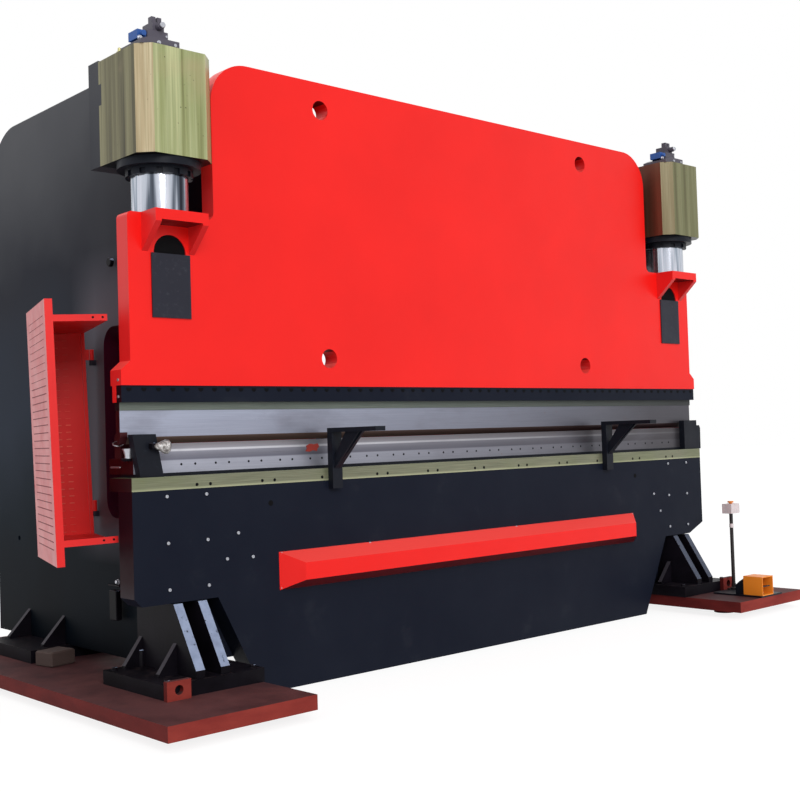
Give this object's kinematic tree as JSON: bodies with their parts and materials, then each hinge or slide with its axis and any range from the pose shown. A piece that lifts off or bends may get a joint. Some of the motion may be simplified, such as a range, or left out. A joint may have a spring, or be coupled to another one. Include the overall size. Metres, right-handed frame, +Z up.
{
  "type": "hydraulic sheet bending machine",
  "caption": "Large press brake: two C frames, table with a long die, red ram with a long punch, twin hydraulic cylinders, side guards and a foot switch.",
  "frame": {"origin": "on the floor, in the middle of the table's length, in the plane of the table's front face", "axes": "+Z up, +X along the table to the right seen from the front, +Y to the back of the machine"},
  "size_m": [5.5375, 3.03, 3.573],
  "materials": {
    "frame_grey": "satin dark grey paint",
    "foot_black": "satin black blue paint, bare ground edges",
    "rusty_plate": "mill scale with brown red rust",
    "table_blue": "satin blue black paint",
    "zinc_olive": "machined and olive yellow passivated",
    "tool_black": "blackened steel",
    "tool_steel": "ground tool steel",
    "ram_red": "bright red gloss paint",
    "guard_red": "red paint on sheet metal",
    "cover_grey": "dark grey",
    "strip_green": "oiled steel, grey green",
    "cylinder_olive": "machined and olive yellow passivated",
    "rod_chrome": "hard chrome, polished",
    "coil_blue": "blue moulded coil",
    "hood_orange": "orange enamel",
    "tread_rubber": "dark grey ribbed",
    "post_black": "black paint",
    "box_white": "off white",
    "button_amber": "amber"
  },
  "bodies": {
    "machine": {"left_side_frame": "frame_grey", "right_side_frame": "frame_grey", "left_feet": "foot_black", "right_feet": "foot_black", "left_foot_gussets": "foot_black", "right_foot_gussets": "foot_black", "lifting_blocks": "rusty_plate", "left_base_plate": "rusty_plate", "right_base_plate": "rusty_plate", "table": "table_blue", "table_rail": "zinc_olive", "bed_beam": "table_blue", "die_base": "tool_black", "die": "tool_steel", "left_end_bracket": "tool_black", "right_end_bracket": "tool_black", "left_cylinder": "cylinder_olive", "right_cylinder": "cylinder_olive", "left_gland": "tool_black", "right_gland": "tool_black", "gland_nuts": "tool_black", "left_valve": "cover_grey", "right_valve": "cover_grey", "valve_coils": "coil_blue", "left_ram_guide": "frame_grey", "right_ram_guide": "frame_grey", "left_guard_hinges": "cover_grey", "right_guard": "guard_red", "right_guard_hinges": "cover_grey", "front_cover": "ram_red", "left_support_arm": "tool_black", "right_support_arm": "tool_black", "oil_tank": "table_blue", "rear_beam": "table_blue", "rear_covers": "guard_red", "gauge_rails": "frame_grey", "back_gauge": "cover_grey", "switch_foot": "tool_black", "switch_hood": "hood_orange", "switch_post": "post_black", "stop_box": "box_white"},
    "ram": {"ram": "ram_red", "left_rod_bracket": "ram_red", "right_rod_bracket": "ram_red", "slot_covers": "cover_grey", "clamp_bar": "table_blue", "tool_strip": "strip_green", "punch": "tool_steel", "left_piston_rod": "rod_chrome", "right_piston_rod": "rod_chrome"},
    "left_guard": {"left_guard": "guard_red"},
    "treadle": {"foot_treadle": "tread_rubber"},
    "stop_button": {"stop_button": "button_amber"}
  },
  "joints": [
    {"name": "ram_slide", "type": "slide", "parent": "machine", "child": "ram", "axis": [0, 0, 1], "range_m": [-0.015, 0.15]},
    {"name": "left_guard_hinge", "type": "hinge", "parent": "machine", "child": "left_guard", "pos_m": [-2.254, 0.87, 1], "axis": [0, 0, 1], "range_deg": [-72.5, 17.5]},
    {"name": "treadle_press", "type": "hinge", "parent": "machine", "child": "treadle", "pos_m": [2.2595, -0.565, 0.172], "axis": [1, 0, 0], "range_deg": [0, 8], "stiffness_Nm_per_rad": 6, "springref_deg": -8.59},
    {"name": "stop_button_press", "type": "slide", "parent": "machine", "child": "stop_button", "axis": [0, 0, -1], "range_m": [0, 0.006], "stiffness_N_per_m": 800, "springref_m": -0.003}
  ]
}
